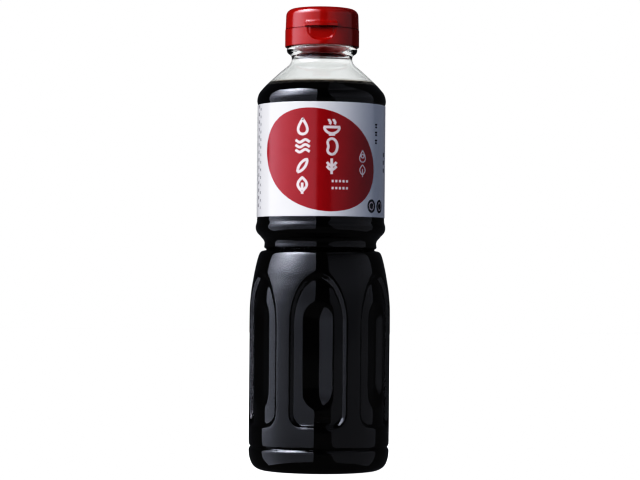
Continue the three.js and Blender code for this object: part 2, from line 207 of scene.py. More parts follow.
shell_bm = bmesh.new()
shell_bm.from_mesh(outer_mesh)
shell_bm.from_mesh(inner_mesh)
shell_bm.verts.ensure_lookup_table()
rim_edges = [e for e in shell_bm.edges if e.is_boundary]
bmesh.ops.bridge_loops(shell_bm, edges=rim_edges)
shell_mesh = bpy.data.meshes.new("bottle_shell")
shell_bm.to_mesh(shell_mesh)
shell_bm.free()
shell_mesh.polygons.foreach_set("use_smooth", [True] * len(shell_mesh.polygons))
shell_mesh.set_sharp_from_angle(angle=math.radians(50))
bottle_shell = bpy.data.objects.new("bottle_shell", shell_mesh)
bpy.context.collection.objects.link(bottle_shell)


def add_node(tree, kind, settings=None, links=None):
    """Adds one node: settings are attributes, links are input names or numbers with their values."""
    node = tree.nodes.new(kind)
    for key, value in (settings or {}).items():
        setattr(node, key, value)
    for key, value in (links or {}).items():
        if isinstance(value, bpy.types.NodeSocket):
            tree.links.new(value, node.inputs[key])
        else:
            node.inputs[key].default_value = value
    return node


def sum_of(tree, operation, a, b=None, c=None, clamp=False):
    """The result of one maths step on numbers or sockets."""
    given = {0: a}
    if b is not None:
        given[1] = b
    if c is not None:
        given[2] = c
    node = add_node(tree, "ShaderNodeMath", {"operation": operation, "use_clamp": clamp}, given)
    return node.outputs[0]


def length_of(tree, a, b):
    """The length of two sides at right angles."""
    return sum_of(tree, "SQRT", sum_of(tree, "ADD", sum_of(tree, "MULTIPLY", a, a),
                                       sum_of(tree, "MULTIPLY", b, b)))


# The grip panels' sizes, as the node tree below names them, and how far a trough's sides bow out.
TROUGH_BOW = 0.56
PANEL_SIZES = [
    ("Panel Count", 6.0),
    ("Wall Radius", BODY_RADIUS * MM),
    ("Panel Half Width", 19.1 * MM),
    ("Panel Bottom", 24.2 * MM),
    ("Corner Radius", 10.6 * MM),
    ("Arch Start", 86.1 * MM),
    ("Panel Top", 116.9 * MM),
    ("Rim Wall Width", 4.0 * MM),
    ("Rim Wall Curve", 3.0),
    ("Ledge Depth", 2.1 * MM),
    ("Trough Half Width", 9.35 * MM),
    ("Trough Bottom", 37.5 * MM),
    ("Trough Top", 98.7 * MM),
    ("Trough Depth", 1.96 * MM),
]

grip = bpy.data.node_groups.new("grip_panels", "GeometryNodeTree")
grip.interface.new_socket("Geometry", in_out="INPUT", socket_type="NodeSocketGeometry")
for size_name, size_value in PANEL_SIZES:
    entry = grip.interface.new_socket(size_name, in_out="INPUT", socket_type="NodeSocketFloat")
    entry.default_value = size_value
grip.interface.new_socket("Material", in_out="INPUT", socket_type="NodeSocketMaterial")
grip.interface.new_socket("Geometry", in_out="OUTPUT", socket_type="NodeSocketGeometry")
given = add_node(grip, "NodeGroupInput").outputs
place = add_node(grip, "ShaderNodeSeparateXYZ",
                 links={0: add_node(grip, "GeometryNodeInputPosition").outputs[0]}).outputs
height = place["Z"]
bearing = sum_of(grip, "ARCTAN2", place["Y"], place["X"])

# The bearing from the middle of the nearest panel, as a length along the unrolled wall.
pitch = sum_of(grip, "DIVIDE", 2 * math.pi, given["Panel Count"])
from_front = sum_of(grip, "ADD", bearing, math.pi / 2)
turns = sum_of(grip, "ROUND", sum_of(grip, "DIVIDE", from_front, pitch))
local = sum_of(grip, "SUBTRACT", from_front, sum_of(grip, "MULTIPLY", turns, pitch))
across = sum_of(grip, "ABSOLUTE", sum_of(grip, "MULTIPLY", local, given["Wall Radius"]))

# How far a point lies inside the panel's rim: an elliptical arch above, round corners below.
rise = sum_of(grip, "SUBTRACT", given["Panel Top"], given["Arch Start"])
above = sum_of(grip, "MAXIMUM", sum_of(grip, "SUBTRACT", height, given["Arch Start"]), 0.0)
side_share = sum_of(grip, "DIVIDE", across, given["Panel Half Width"])
up_share = sum_of(grip, "DIVIDE", above, rise)
reach = length_of(grip, side_share, up_share)
slope = sum_of(grip, "DIVIDE",
               length_of(grip, sum_of(grip, "DIVIDE", side_share, given["Panel Half Width"]),
                         sum_of(grip, "DIVIDE", up_share, rise)),
               sum_of(grip, "MAXIMUM", reach, 0.0001))
arch_inset = sum_of(grip, "DIVIDE", sum_of(grip, "SUBTRACT", 1.0, reach),
                    sum_of(grip, "MAXIMUM", slope, 0.0001))
past_side = sum_of(grip, "SUBTRACT", across,
                   sum_of(grip, "SUBTRACT", given["Panel Half Width"], given["Corner Radius"]))
past_foot = sum_of(grip, "SUBTRACT",
                   sum_of(grip, "ADD", given["Panel Bottom"], given["Corner Radius"]), height)
corner = length_of(grip, sum_of(grip, "MAXIMUM", past_side, 0.0),
                   sum_of(grip, "MAXIMUM", past_foot, 0.0))
deep = sum_of(grip, "MINIMUM", sum_of(grip, "MAXIMUM", past_side, past_foot), 0.0)
low_inset = sum_of(grip, "SUBTRACT", sum_of(grip, "SUBTRACT", given["Corner Radius"], corner), deep)
is_arch = sum_of(grip, "GREATER_THAN", height, given["Arch Start"])
rim_inset = add_node(grip, "ShaderNodeMix", {"data_type": "FLOAT"},
                     {0: is_arch, 2: low_inset, 3: arch_inset}).outputs[0]
down_wall = sum_of(grip, "DIVIDE", rim_inset, given["Rim Wall Width"], clamp=True)
ledge = sum_of(grip, "MULTIPLY", given["Ledge Depth"],
               sum_of(grip, "POWER", down_wall, given["Rim Wall Curve"]))

# The long trough in the ledge: a shallow V with a crease on its spine and rounded ends.
half = given["Trough Half Width"]
spine_top = sum_of(grip, "SUBTRACT", given["Trough Top"], half)
spine_foot = sum_of(grip, "ADD", given["Trough Bottom"], half)
beyond = sum_of(grip, "MAXIMUM",
                sum_of(grip, "MAXIMUM", sum_of(grip, "SUBTRACT", height, spine_top),
                       sum_of(grip, "SUBTRACT", spine_foot, height)), 0.0)
from_spine = length_of(grip, across, beyond)
share = sum_of(grip, "SUBTRACT", 1.0, sum_of(grip, "DIVIDE", from_spine, half), clamp=True)
bowed = sum_of(grip, "MULTIPLY", share,
               sum_of(grip, "SUBTRACT", 1.0 + TROUGH_BOW, sum_of(grip, "MULTIPLY", share, TROUGH_BOW)))
depth = sum_of(grip, "ADD", ledge, sum_of(grip, "MULTIPLY", bowed, given["Trough Depth"]))
inwards = add_node(grip, "ShaderNodeCombineXYZ", links={
    "X": sum_of(grip, "MULTIPLY", sum_of(grip, "COSINE", bearing), -1.0),
    "Y": sum_of(grip, "MULTIPLY", sum_of(grip, "SINE", bearing), -1.0),
}).outputs[0]
push = add_node(grip, "ShaderNodeVectorMath", {"operation": "SCALE"},
                {0: inwards, "Scale": depth}).outputs[0]
sunk = add_node(grip, "GeometryNodeSetPosition",
                links={"Geometry": given["Geometry"], "Offset": push}).outputs[0]
solid = add_node(grip, "GeometryNodeRealizeInstances", links={0: sunk}).outputs[0]
dressed = add_node(grip, "GeometryNodeSetMaterial",
                   links={"Geometry": solid, "Material": given["Material"]}).outputs[0]
add_node(grip, "NodeGroupOutput", links={0: dressed})


def through_nodes(obj, tree, material, sizes=None):
    """Runs a node tree on an object and keeps the result as its plain mesh."""
    modifier = obj.modifiers.new(tree.name, "NODES")
    modifier.node_group = tree
    sizes = dict(sizes or {}, Material=material)
    for item in tree.interface.items_tree:
        if item.in_out == "INPUT" and item.name in sizes:
            modifier[item.identifier] = sizes[item.name]
    bpy.context.view_layer.update()
    result = obj.evaluated_get(bpy.context.evaluated_depsgraph_get())
    mesh = bpy.data.meshes.new_from_object(result)
    obj.modifiers.remove(modifier)
    obj.data = mesh
    return mesh


def linear(hex_colour):
    """The linear colour of an sRGB hex value."""
    channels = [int(hex_colour[i:i + 2], 16) / 255 for i in (0, 2, 4)]
    return [c / 12.92 if c <= 0.04045 else ((c + 0.055) / 1.055) ** 2.4 for c in channels] + [1.0]


def new_material(name):
    """A material with one Principled shader, and that shader."""
    material = bpy.data.materials.new(name)
    material.use_nodes = True
    return material, material.node_tree, material.node_tree.nodes["Principled BSDF"]


def two_tone(tree, shader, pattern, first_hex, second_hex):
    """Colours a surface between two sRGB hex values by a pattern."""
    tones = add_node(tree, "ShaderNodeValToRGB", {}, {0: pattern})
    tones.color_ramp.elements[0].color = linear(first_hex)
    tones.color_ramp.elements[1].color = linear(second_hex)
    tree.links.new(tones.outputs[0], shader.inputs["Base Color"])


def gloss_between(tree, shader, pattern, low, high):
    """Varies a surface's roughness between two values by a pattern."""
    gloss = add_node(tree, "ShaderNodeMapRange", {},
                     {"Value": pattern, "To Min": low, "To Max": high})
    tree.links.new(gloss.outputs[0], shader.inputs["Roughness"])


# Blown PET: clear, with a hard gloss and a slow ripple left by the blow mould.
clear_pet, tree, shader = new_material("clear_blown_pet")
shader.inputs["IOR"].default_value = 1.575
shader.inputs["Transmission Weight"].default_value = 1.0
place = add_node(tree, "ShaderNodeTexCoord").outputs["Object"]
ripple = add_node(tree, "ShaderNodeTexNoise", {"noise_dimensions": "3D"},
                  {"Vector": place, "Scale": 70.0, "Detail": 1.0, "Roughness": 0.4})
bump = add_node(tree, "ShaderNodeBump", {},
                {"Height": ripple.outputs[0], "Strength": 0.02, "Distance": 0.001})
tree.links.new(bump.outputs[0], shader.inputs["Normal"])
two_tone(tree, shader, ripple.outputs[0], "f6f8f7", "fcfdfd")
gloss_between(tree, shader, ripple.outputs[0], 0.012, 0.03)

through_nodes(bottle_shell, grip, clear_pet)
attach(bottle_shell, "root")
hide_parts("bottle")


# Soy sauce. A dark brown, water-thin liquid that fills the shell up to the lower shoulder. It wets
# the wall, so it fits the shell with no gap, and at its edge it creeps up in a thin amber rim.
FILL_LEVEL = 224.2
RIM_TOP = 227.2
RIM_DEPTH = 5.0
RIM_EDGE = 0.05
RIM_CURVE = 2.8
RIM_COLUMNS = 240
IN_WALL = 0.12

sauce_heights = np.append(inner_heights[inner_heights < FILL_LEVEL - 0.3], FILL_LEVEL)
sauce_line = np.vstack([floor_and_wall(sauce_heights, WALL - IN_WALL),
                        [(24.0, FILL_LEVEL), (12.0, FILL_LEVEL)]])
sauce_mesh = turned_mesh("soy_sauce_fill", sauce_line, panel_turns(INNER_COLUMNS),
                         PUSH_UP + WALL - IN_WALL, FILL_LEVEL)
sauce_mesh.set_sharp_from_angle(angle=math.radians(40))
soy_sauce_fill = bpy.data.objects.new("soy_sauce_fill", sauce_mesh)
bpy.context.collection.objects.link(soy_sauce_fill)

# Brewed soy sauce: near black in depth. Against the wall it wets, only a trace of gloss is left.
brewed_sauce, tree, shader = new_material("brewed_soy_sauce")
shader.inputs["IOR"].default_value = 1.15
shader.inputs["Roughness"].default_value = 0.04
place = add_node(tree, "ShaderNodeTexCoord").outputs["Object"]
cloud = add_node(tree, "ShaderNodeTexNoise", {}, {"Vector": place, "Scale": 20.0, "Detail": 1.0})
two_tone(tree, shader, cloud.outputs[0], "060302", "0a0503")

through_nodes(soy_sauce_fill, grip, brewed_sauce)
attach(soy_sauce_fill, "root")
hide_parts("soy_sauce")

rim_heights = np.linspace(FILL_LEVEL - RIM_EDGE, RIM_TOP, 12)
rim_radii = inset(rim_heights, WALL - IN_WALL)
rim_share = (rim_heights - FILL_LEVEL) / (RIM_TOP - FILL_LEVEL)
rim_back = rim_radii - RIM_EDGE - RIM_DEPTH * np.clip(1 - rim_share, 0, 1) ** RIM_CURVE
rim_bm = bmesh.new()
rim_rings = []
for radius, height_mm in list(zip(rim_radii, rim_heights)) + list(zip(rim_back, rim_heights))[::-1]:
    rim_rings.append([rim_bm.verts.new((radius * MM * math.cos(a), radius * MM * math.sin(a),
                                        height_mm * MM))
                      for a in np.arange(RIM_COLUMNS) * 2 * math.pi / RIM_COLUMNS])
for i, low in enumerate(rim_rings):
    high = rim_rings[(i + 1) % len(rim_rings)]
    for j in range(RIM_COLUMNS):
        k = (j + 1) % RIM_COLUMNS
        rim_bm.faces.new((low[j], low[k], high[k], high[j])).smooth = True
rim_mesh = bpy.data.meshes.new("wetting_rim")
rim_bm.to_mesh(rim_mesh)
rim_bm.free()
rim_mesh.set_sharp_from_angle(angle=math.radians(50))
wetting_rim = bpy.data.objects.new("wetting_rim", rim_mesh)
bpy.context.collection.objects.link(wetting_rim)

# The same sauce where it creeps up the wall: thin enough that light comes through it.
thin_sauce, tree, shader = new_material("thin_edge_of_sauce")
shader.inputs["IOR"].default_value = 1.05
shader.inputs["Roughness"].default_value = 0.0
shader.inputs["Transmission Weight"].default_value = 1.0
shader.inputs["Base Color"].default_value = (1.0, 1.0, 1.0, 1.0)
soak = add_node(tree, "ShaderNodeVolumeAbsorption", {},
                {"Color": (0.2, 0.12, 0.0, 1.0), "Density": 1800.0})
tree.links.new(soak.outputs[0], tree.nodes["Material Output"].inputs["Volume"])
wetting_rim.data.materials.append(thin_sauce)
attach(wetting_rim, "root")


# Film label. A sleeve of white shrink film round the straight band, with a heat-sealed overlap at
# the back.
FILM_RADIUS = 37.5
FILM_INSIDE = 37.15
FILM_BOTTOM = 147.6
FILM_TOP = 213.1
FILM_COLUMNS = 360
CUT_EDGE = 0.1
LAP_HALF_ANGLE = 0.07
LAP_RISE = 0.12

film_rows = np.concatenate([[0.0, 0.12, 0.4], np.linspace(1.5, 64.0, 26), [65.1, 65.38, 65.5]])
film_bm = bmesh.new()
film_uv = film_bm.loops.layers.uv.new("unrolled")
rings = []
for face_radius, order in ((FILM_RADIUS, film_rows), (FILM_INSIDE, film_rows[::-1])):
    for rise in order:
        edge = min(rise, FILM_TOP - FILM_BOTTOM - rise)
        outer = face_radius == FILM_RADIUS
        radius = face_radius - (CUT_EDGE if outer and edge < 0.05 else 0.0)
        ring = []
        for j in range(FILM_COLUMNS):
            turn = 2 * math.pi * j / FILM_COLUMNS - math.pi
            r = radius + (LAP_RISE if outer and turn > math.pi - LAP_HALF_ANGLE else 0.0)
            ring.append(film_bm.verts.new((r * MM * math.sin(turn), -r * MM * math.cos(turn),
                                           (FILM_BOTTOM + rise) * MM)))
        rings.append((ring, rise))
for i in range(len(rings)):
    (low, low_rise), (high, high_rise) = rings[i], rings[(i + 1) % len(rings)]
    for j in range(FILM_COLUMNS):
        k = (j + 1) % FILM_COLUMNS
        face = film_bm.faces.new((low[j], low[k], high[k], high[j]))
        face.smooth = True
        arcs = [2 * math.pi * n / FILM_COLUMNS - math.pi for n in (j, j + 1, j + 1, j)]
        for loop, arc, rise in zip(face.loops, arcs, (low_rise, low_rise, high_rise, high_rise)):
            loop[film_uv].uv = (arc * FILM_RADIUS, FILM_BOTTOM + rise)
film_mesh = bpy.data.meshes.new("label_film")
film_bm.to_mesh(film_mesh)
film_bm.free()
film_mesh.set_sharp_from_angle(angle=math.radians(40))
label_film = bpy.data.objects.new("label_film", film_mesh)
bpy.context.collection.objects.link(label_film)

# White shrink film: an even opaque ground under a satin gloss, a little cloudy from the shrinking.
shrink_film, tree, shader = new_material("white_shrink_film")
shader.inputs["IOR"].default_value = 1.5
shader.inputs["Specular IOR Level"].default_value = 0.7
unrolled = add_node(tree, "ShaderNodeUVMap", {"uv_map": "unrolled"}).outputs[0]
cloud = add_node(tree, "ShaderNodeTexNoise", {},
                 {"Vector": unrolled, "Scale": 0.12, "Detail": 2.0})
two_tone(tree, shader, cloud.outputs[0], "e6e6eb", "ebebef")
gloss_between(tree, shader, cloud.outputs[0], 0.12, 0.17)
label_film.data.materials.append(shrink_film)
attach(label_film, "root")
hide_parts("label")


# Red disc. The large tilted disc that is printed across the front of the film, a field of flat red
# ink. It is drawn on the unrolled film and wrapped round it.
DISC_HALF_WIDTH = 36.1
DISC_HALF_HEIGHT = 29.6
DISC_HEIGHT = 180.0
DISC_LEAN = 0.18
DISC_INK = (-0.08, 0.03)
DISC_POINTS = 160

wrap = bpy.data.node_groups.new("wrap_round_film", "GeometryNodeTree")
wrap.interface.new_socket("Geometry", in_out="INPUT", socket_type="NodeSocketGeometry")
radius_entry = wrap.interface.new_socket("Film Radius", in_out="INPUT",
                                         socket_type="NodeSocketFloat")
radius_entry.default_value = FILM_RADIUS * MM
wrap.interface.new_socket("Material", in_out="INPUT", socket_type="NodeSocketMaterial")
wrap.interface.new_socket("Geometry", in_out="OUTPUT", socket_type="NodeSocketGeometry")
given = add_node(wrap, "NodeGroupInput").outputs
flat = add_node(wrap, "ShaderNodeSeparateXYZ",
                links={0: add_node(wrap, "GeometryNodeInputPosition").outputs[0]}).outputs
turn = sum_of(wrap, "DIVIDE", flat["X"], given["Film Radius"])
reach = sum_of(wrap, "ADD", given["Film Radius"], flat["Z"])
wrapped = add_node(wrap, "ShaderNodeCombineXYZ", links={
    "X": sum_of(wrap, "MULTIPLY", reach, sum_of(wrap, "SINE", turn)),
    "Y": sum_of(wrap, "MULTIPLY", sum_of(wrap, "MULTIPLY", reach, -1.0),
                sum_of(wrap, "COSINE", turn)),
    "Z": flat["Y"],
}).outputs[0]
laid = add_node(wrap, "GeometryNodeSetPosition",
                links={"Geometry": given["Geometry"], "Position": wrapped}).outputs[0]
solid = add_node(wrap, "GeometryNodeRealizeInstances", links={0: laid}).outputs[0]
dressed = add_node(wrap, "GeometryNodeSetMaterial",
                   links={"Geometry": solid, "Material": given["Material"]}).outputs[0]
add_node(wrap, "NodeGroupOutput", links={0: dressed})


def filled_patch(bm, centre, outline, ink, shares):
    """A thin closed patch of ink inside an outline that runs anticlockwise round its centre."""
    count = len(outline)
    layers = []
    for out in ink:
        middle = bm.verts.new((centre[0] * MM, centre[1] * MM, out * MM))
        layers.append((middle, [[bm.verts.new(((centre[0] + share * (x - centre[0])) * MM,
                                               (centre[1] + share * (y - centre[1])) * MM,
                                               out * MM)) for x, y in outline]
                                for share in shares]))
    for middle, patch_rings in layers:
        under = middle is layers[0][0]
        for j in range(count):
            k = (j + 1) % count
            faces = [(middle, patch_rings[0][j], patch_rings[0][k])]
            faces += [(a[j], b[j], b[k], a[k]) for a, b in zip(patch_rings[:-1], patch_rings[1:])]
            for points in faces:
                bm.faces.new(points[::-1] if under else points)
    low, high = layers[0][1][-1], layers[1][1][-1]
    for j in range(count):
        k = (j + 1) % count
        bm.faces.new((low[j], low[k], high[k], high[j]))


def printed_piece(name, bm, material):
    """Wraps a flat mesh of ink round the film and makes it a piece of the label's print."""
    mesh = bpy.data.meshes.new(name)
    bm.to_mesh(mesh)
    bm.free()
    piece = bpy.data.objects.new(name, mesh)
    bpy.context.collection.objects.link(piece)
    wrapped_mesh = through_nodes(piece, wrap, material)
    wrapped_mesh.polygons.foreach_set("use_smooth", [True] * len(wrapped_mesh.polygons))
    wrapped_mesh.set_sharp_from_angle(angle=math.radians(40))
    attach(piece, "root")
    return piece


disc_lean = math.asin(DISC_LEAN)
disc_outline = [(DISC_HALF_WIDTH * math.cos(t),
                 DISC_HEIGHT + DISC_HALF_HEIGHT * math.sin(t - disc_lean))
                for t in np.arange(DISC_POINTS) * 2 * math.pi / DISC_POINTS]
disc_bm = bmesh.new()
filled_patch(disc_bm, (0.0, DISC_HEIGHT), disc_outline, DISC_INK, np.linspace(0.08, 1.0, 16))

# Gravure ink on film: a flat, even red that takes the film's satin gloss.
red_ink, tree, shader = new_material("red_gravure_ink")
shader.inputs["IOR"].default_value = 1.5
shader.inputs["Specular IOR Level"].default_value = 0.7
place = add_node(tree, "ShaderNodeTexCoord").outputs["Object"]
ink_cloud = add_node(tree, "ShaderNodeTexNoise", {}, {"Vector": place, "Scale": 160.0, "Detail": 2.0})
two_tone(tree, shader, ink_cloud.outputs[0], "9f1b25", "a8212b")
gloss_between(tree, shader, ink_cloud.outputs[0], 0.12, 0.17)
label_disc_print = printed_piece("label_disc_print", disc_bm, red_ink)
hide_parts("label_disc")


# Printed marks. Simple signs for beans, leaves, a drop and a bowl in white ink on the disc, dots and
# short dashes in dark ink on the white film, and a ruled table with empty rows at the back.
MARK_INK = (-0.02, 0.06)
SPOT_RING_INK = (0.02, 0.09)
WIDE_STROKE = 1.55
THIN_STROKE = 0.75
RULE_STROKE = 0.35
SPOTS_ACROSS = (34.4, 43.1)
SPOTS_HEIGHT = 154.0
TABLE_FOOT = 155.0
TABLE_TOP = 207.0
TABLE_SIDES = (64.0, 104.0)
TABLE_MIDDLE = 78.0
TABLE_ROW = 6.5


def stroke(bm, path, width, ink=MARK_INK):
    """A thin closed ribbon of ink along a path on the unrolled film; it may end where it starts."""
    spots = np.array(path, float)
    lengths = np.hypot(*np.diff(spots, axis=0).T)
    run = np.concatenate([[0.0], np.cumsum(lengths)])
    want = np.unique(np.concatenate([run, np.linspace(0, run[-1], int(run[-1] / 0.7) + 2)]))
    spots = np.column_stack([np.interp(want, run, spots[:, k]) for k in (0, 1)])
    closed = np.hypot(*(spots[0] - spots[-1])) < 1e-6
    if closed:
        spots = spots[:-1]
        before, after = np.roll(spots, 1, axis=0), np.roll(spots, -1, axis=0)
    else:
        before, after = np.vstack([spots[0], spots[:-1]]), np.vstack([spots[1:], spots[-1]])
    along = after - before
    along /= np.maximum(np.hypot(along[:, 0], along[:, 1]), 1e-9)[:, None]
    side = np.column_stack([-along[:, 1], along[:, 0]]) * width / 2
    stations = []
    for left, right in zip(spots + side, spots - side):
        stations.append([bm.verts.new((x * MM, y * MM, out * MM))
                         for (x, y), out in ((right, ink[0]), (left, ink[0]),
                                             (left, ink[1]), (right, ink[1]))])
    pairs = list(zip(stations, stations[1:] + stations[:1]))
    for first, second in pairs if closed else pairs[:-1]:
        for i in range(4):
            k = (i + 1) % 4
            bm.faces.new((first[i], first[k], second[k], second[i]))
    if not closed:
        bm.faces.new(stations[0][::-1])
        bm.faces.new(stations[-1])


def round_line(width, height, first=0, last=360, steps=28):
    """Points of an ellipse, or part of one, between two angles in degrees."""
    return [(width * math.cos(math.radians(t)), height * math.sin(math.radians(t)))
            for t in np.linspace(first, last, steps)]


bean_line = [(0.68 * math.cos(t) + 0.26 * math.exp(-((t - math.pi) / 0.45) ** 2),
              0.95 * math.sin(t)) for t in np.linspace(0, 2 * math.pi, 32)]
drop_line = [(0.86 * math.sin(t) * math.sin(t / 2) ** 1.3, math.cos(t))
             for t in np.linspace(0.0, 2 * math.pi, 32)]
leaf_side = [(0.58 * math.sin(math.pi * u), 1.0 - 1.75 * u) for u in np.linspace(0, 1, 12)]
leaf_lines = [leaf_side + [(-x, y) for x, y in leaf_side[::-1]], [(0.0, 0.35), (0.0, -1.05)]]
bowl_lines = [round_line(0.95, 0.8, 180, 360, 18), [(-1.05, 0.0), (1.05, 0.0)],
              [(-0.4, -0.92), (0.4, -0.92)],
              [(-0.3 + 0.1 * math.sin(5 * u), 0.35 + 0.65 * u) for u in np.linspace(0, 1, 8)],
              [(0.3 + 0.1 * math.sin(5 * u), 0.35 + 0.65 * u) for u in np.linspace(0, 1, 8)]]
wave_lines = [[(x, level + 0.17 * math.sin(4.2 * x)) for x in np.linspace(-0.95, 0.95, 16)]
              for level in (0.62, 0.0, -0.62)]
pod_side = [(0.36 * math.sin(math.pi * u) ** 0.7, 1.0 - 2.0 * u) for u in np.linspace(0, 1, 14)]
pod_line = [(x * 0.8 + y * 0.6, y * 0.8 - x * 0.6)
            for x, y in pod_side + [(-x, y) for x, y in pod_side[::-1]]]
ear_lines = [[(0.0, 0.95), (0.0, -1.0)]] + [
    [(0.0, low), (tip * 0.35, low + 0.2), (tip * 0.62, low + 0.5)]
    for low in (-0.5, 0.0) for tip in (-1, 1)]

MARKS = [
    (6.9, 198.5, 4.6, WIDE_STROKE, bowl_lines), (6.9, 187.4, 4.7, WIDE_STROKE, [bean_line]),
    (6.9, 176.2, 4.6, WIDE_STROKE, ear_lines),
    (-10.0, 198.8, 4.4, WIDE_STROKE, [drop_line]), (-10.0, 187.7, 4.5, WIDE_STROKE, wave_lines),
    (-10.0, 176.4, 4.6, WIDE_STROKE, [pod_line]), (-10.0, 165.1, 4.6, WIDE_STROKE, leaf_lines),
    (26.6, 182.4, 3.4, THIN_STROKE, [drop_line, round_line(0.3, 0.3)]),
    (26.6, 174.0, 3.4, THIN_STROKE, leaf_lines),
]
white_bm = bmesh.new()
for mark_x, mark_y, size, width, lines in MARKS:
    for line in lines:
        stroke(white_bm, [(mark_x + size * x, mark_y + size * y) for x, y in line], width)
for level in (167.7, 163.7):
    for start in np.arange(6.9, 16.2, 2.15):
        stroke(white_bm, [(start, level), (start + 1.3, level)], 1.45)

# White gravure ink: opaque, a touch warm over the red.
white_ink, tree, shader = new_material("white_gravure_ink")
shader.inputs["IOR"].default_value = 1.5
shader.inputs["Specular IOR Level"].default_value = 0.7
place = add_node(tree, "ShaderNodeTexCoord").outputs["Object"]
ink_cloud = add_node(tree, "ShaderNodeTexNoise", {}, {"Vector": place, "Scale": 220.0, "Detail": 1.0})
two_tone(tree, shader, ink_cloud.outputs[0], "ecdfe3", "f4e9ec")
shader.inputs["Roughness"].default_value = 0.16
label_white_marks = printed_piece("label_white_marks", white_bm, white_ink)

dark_bm = bmesh.new()
for level in (200.2, 195.7, 191.1):
    stroke(dark_bm, [(37.4, level + 0.9), (39.4, level + 0.9)], 0.9)
    stroke(dark_bm, [(37.6, level - 0.6), (39.2, level - 0.6)], 0.9)
for dot_x in SPOTS_ACROSS:
    spot_line = [(dot_x + x, SPOTS_HEIGHT + y) for x, y in round_line(3.5, 3.9, 0, 348.75, 32)]
    filled_patch(dark_bm, (dot_x, SPOTS_HEIGHT), spot_line, MARK_INK, (0.4, 0.7, 1.0))
for level in np.arange(152.0, 211.0, 4.4):
    stroke(dark_bm, [(-44.4, level), (-44.4, level + 1.6)], 0.55)
    stroke(dark_bm, [(-47.8, level + 1.4), (-47.8, level + 3.4)], 0.8)
for level in (174.0, 178.5, 183.0):
    stroke(dark_bm, [(49.9, level), (49.9, level + 2.4)], 1.3)
for column in (*TABLE_SIDES, TABLE_MIDDLE):
    stroke(dark_bm, [(column, TABLE_FOOT), (column, TABLE_TOP)], RULE_STROKE)
for row in np.arange(TABLE_FOOT, TABLE_TOP + 0.1, TABLE_ROW):
    stroke(dark_bm, [(side, row) for side in TABLE_SIDES], RULE_STROKE)
for row in np.arange(TABLE_FOOT + TABLE_ROW / 2, TABLE_TOP - 2.0, TABLE_ROW):
    for start in np.arange(66.0, 76.0, 3.0):
        stroke(dark_bm, [(start, row), (start + 2.0, row)], 1.0)
    for start in np.arange(80.0, 101.0, 3.0):
        stroke(dark_bm, [(start, row), (start + 2.0, row)], 0.8)
for column in np.arange(-104.0, -63.0, 5.0):
    for start in np.arange(156.0, 204.0, 3.4):
        stroke(dark_bm, [(column, start), (column, start + 2.2)], 0.9)

# Dark gravure ink: a blue-black that lies thin on the film.
dark_ink, tree, shader = new_material("dark_gravure_ink")
shader.inputs["IOR"].default_value = 1.5
place = add_node(tree, "ShaderNodeTexCoord").outputs["Object"]
ink_cloud = add_node(tree, "ShaderNodeTexNoise", {}, {"Vector": place, "Scale": 220.0, "Detail": 1.0})
two_tone(tree, shader, ink_cloud.outputs[0], "22262e", "2c3039")
shader.inputs["Roughness"].default_value = 0.16
label_dark_marks = printed_piece("label_dark_marks", dark_bm, dark_ink)

spot_bm = bmesh.new()
for dot_x in SPOTS_ACROSS:
    stroke(spot_bm, [(dot_x + x, SPOTS_HEIGHT + y) for x, y in round_line(1.9, 2.2)], 0.6,
           SPOT_RING_INK)
label_spot_rings = printed_piece("label_spot_rings", spot_bm, white_ink)


# Cap. A collar and a closed flip lid moulded in one piece of red polypropylene, joined by a strip
# hinge at the back. A thumb tab stands out over a half-round finger recess at the front.
CAP_RADIUS = 21.7
LID_RADIUS = 21.5
LID_TOP_RADIUS = 21.05
CAP_BOTTOM = 247.35
CAP_TOP = 270.0
LID_CEILING = 266.0
PARTING = 257.3
PARTING_WIDTH = 0.45
PARTING_DEPTH = 1.1
HINGE_HALF_ANGLE = math.radians(15)
EDGE_RADIUS = 4.0
TOP_CROWN = 0.35
TAB_REACH = 2.0
TAB_HALF_ANGLE = math.radians(24.6)
RECESS_HALF_WIDTH = 9.1
RECESS_HEIGHT = 7.7
RECESS_DEPTH = 1.5
RECESS_SIDE_DEPTH = 0.5
RECESS_WALL = 1.3


def cap_side(z):
    """Plain radius of the cap at a height, without tab, recess or parting line."""
    if z < PARTING:
        return CAP_RADIUS - 0.3 * max(0.0, 1 - (z - CAP_BOTTOM) / 0.35) ** 2
    slant = LID_RADIUS + (LID_TOP_RADIUS - LID_RADIUS) * (z - PARTING) / (CAP_TOP - PARTING)
    drop = z - (CAP_TOP - TOP_CROWN - EDGE_RADIUS)
    if drop > 0:
        slant -= EDGE_RADIUS - math.sqrt(max(EDGE_RADIUS**2 - drop**2, 0.0))
    return slant


def smooth(value):
    """Eases a value from 0 to 1 with no kink at either end."""
    t = min(max(value, 0.0), 1.0)
    return t * t * (3 - 2 * t)


